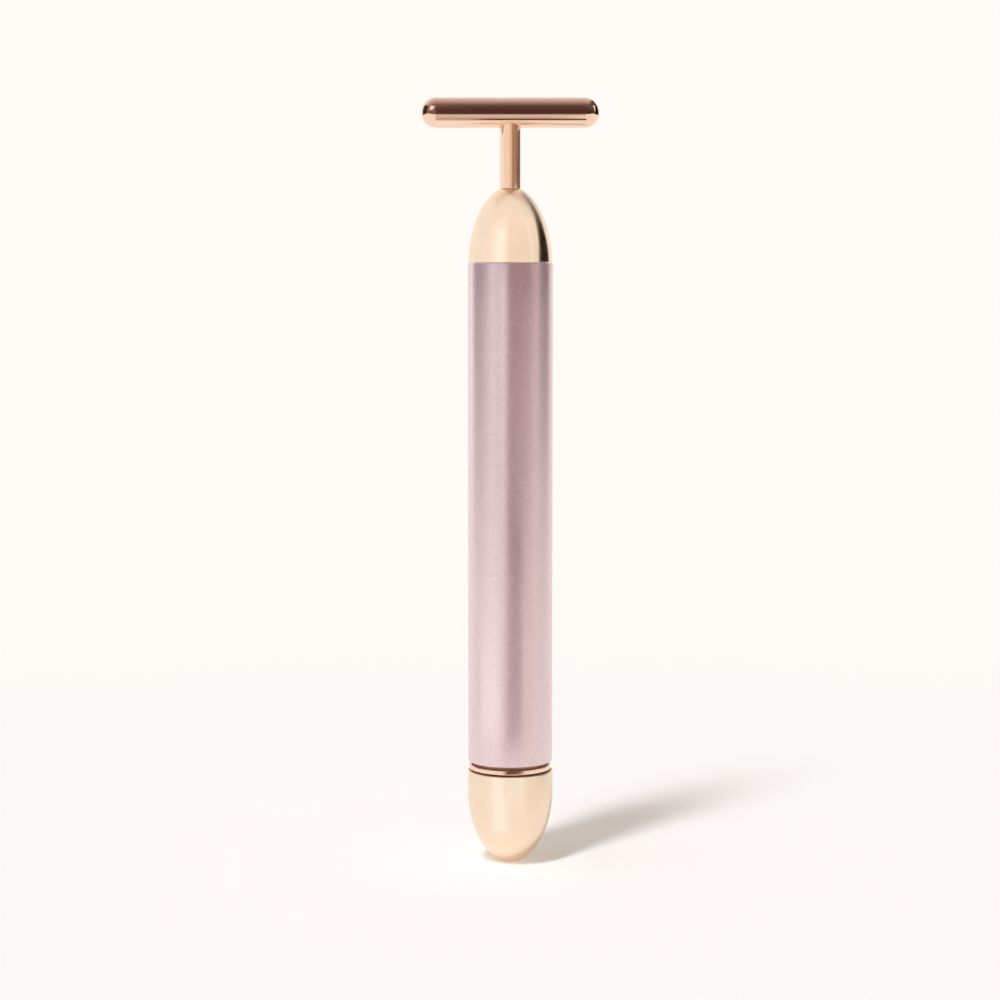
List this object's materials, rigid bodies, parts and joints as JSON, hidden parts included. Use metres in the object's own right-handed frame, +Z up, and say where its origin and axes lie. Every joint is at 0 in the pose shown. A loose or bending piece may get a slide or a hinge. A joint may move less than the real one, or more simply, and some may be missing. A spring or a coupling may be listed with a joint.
{
  "type": "sonic t-bar facial massager",
  "caption": "Slim battery facial massager: a round T-bar on a thin neck, an ogive head, a straight barrel and a screw-on bullet tail that switches it",
  "frame": {"origin": "centre of the small flat foot under the bullet tail, where the part stands upright", "axes": "+Z up along the barrel towards the T-bar, X along the T-bar, -Y towards the viewer of the picture"},
  "size_m": [0.035, 0.017, 0.1521],
  "materials": {
    "bar_rose_gold": "polished",
    "cap_champagne": "satin",
    "ring_champagne": "polished",
    "tube_pink_anodised": "satin",
    "plain_steel": "satin",
    "contact_brass": "satin",
    "bush_bronze": "satin",
    "dark_iron": "matte",
    "black_rubber": "matte",
    "white_plastic": "satin",
    "liner_film": "matte",
    "green_board": "satin",
    "red_lead": "satin",
    "black_lead": "satin",
    "cell_label": "satin"
  },
  "bodies": {
    "handle": {"t_bar": "bar_rose_gold", "neck_stem": "bar_rose_gold", "neck_nut": "plain_steel", "head_cap": "cap_champagne", "head_core": "white_plastic", "head_o_ring": "black_rubber", "motor_sleeve": "black_rubber", "motor_can": "plain_steel", "motor_end_cap": "white_plastic", "motor_magnet": "dark_iron", "lead_wire_red": "red_lead", "lead_wire_black": "black_lead", "contact_board": "green_board", "positive_contact": "contact_brass", "barrel_tube": "tube_pink_anodised", "battery_sleeve": "liner_film", "battery_can": "cell_label", "battery_positive_cap": "plain_steel", "battery_insulator": "white_plastic", "tail_bush": "bush_bronze", "tail_ring": "ring_champagne"},
    "rotor": {"motor_rotor": "contact_brass", "motor_shaft": "plain_steel", "eccentric_weight": "dark_iron"},
    "spring_seat": {"spring_cup": "plain_steel", "battery_spring": "plain_steel"},
    "tail": {"tail_cap": "cap_champagne", "thread_plug": "contact_brass", "contact_ring": "contact_brass", "tail_o_ring": "black_rubber"}
  },
  "joints": [
    {"name": "motor_spin", "type": "hinge", "parent": "handle", "child": "rotor", "pos_m": [0, 0, 0.1271], "axis": [0, 0, 1], "continuous": true},
    {"name": "tail_travel", "type": "slide", "parent": "handle", "child": "spring_seat", "axis": [0, 0, -1], "range_m": [-0.0003, 0.00375], "deforming": ["battery_spring"]},
    {"name": "tail_twist", "type": "hinge", "parent": "spring_seat", "child": "tail", "pos_m": [0, 0, 0.0184], "axis": [0, 0, -1], "range_deg": [-72, 900]}
  ],
  "couplings": [
    {"joint": "tail_travel", "follows": "tail_twist", "m_per_rad": 0.00023873}
  ]
}
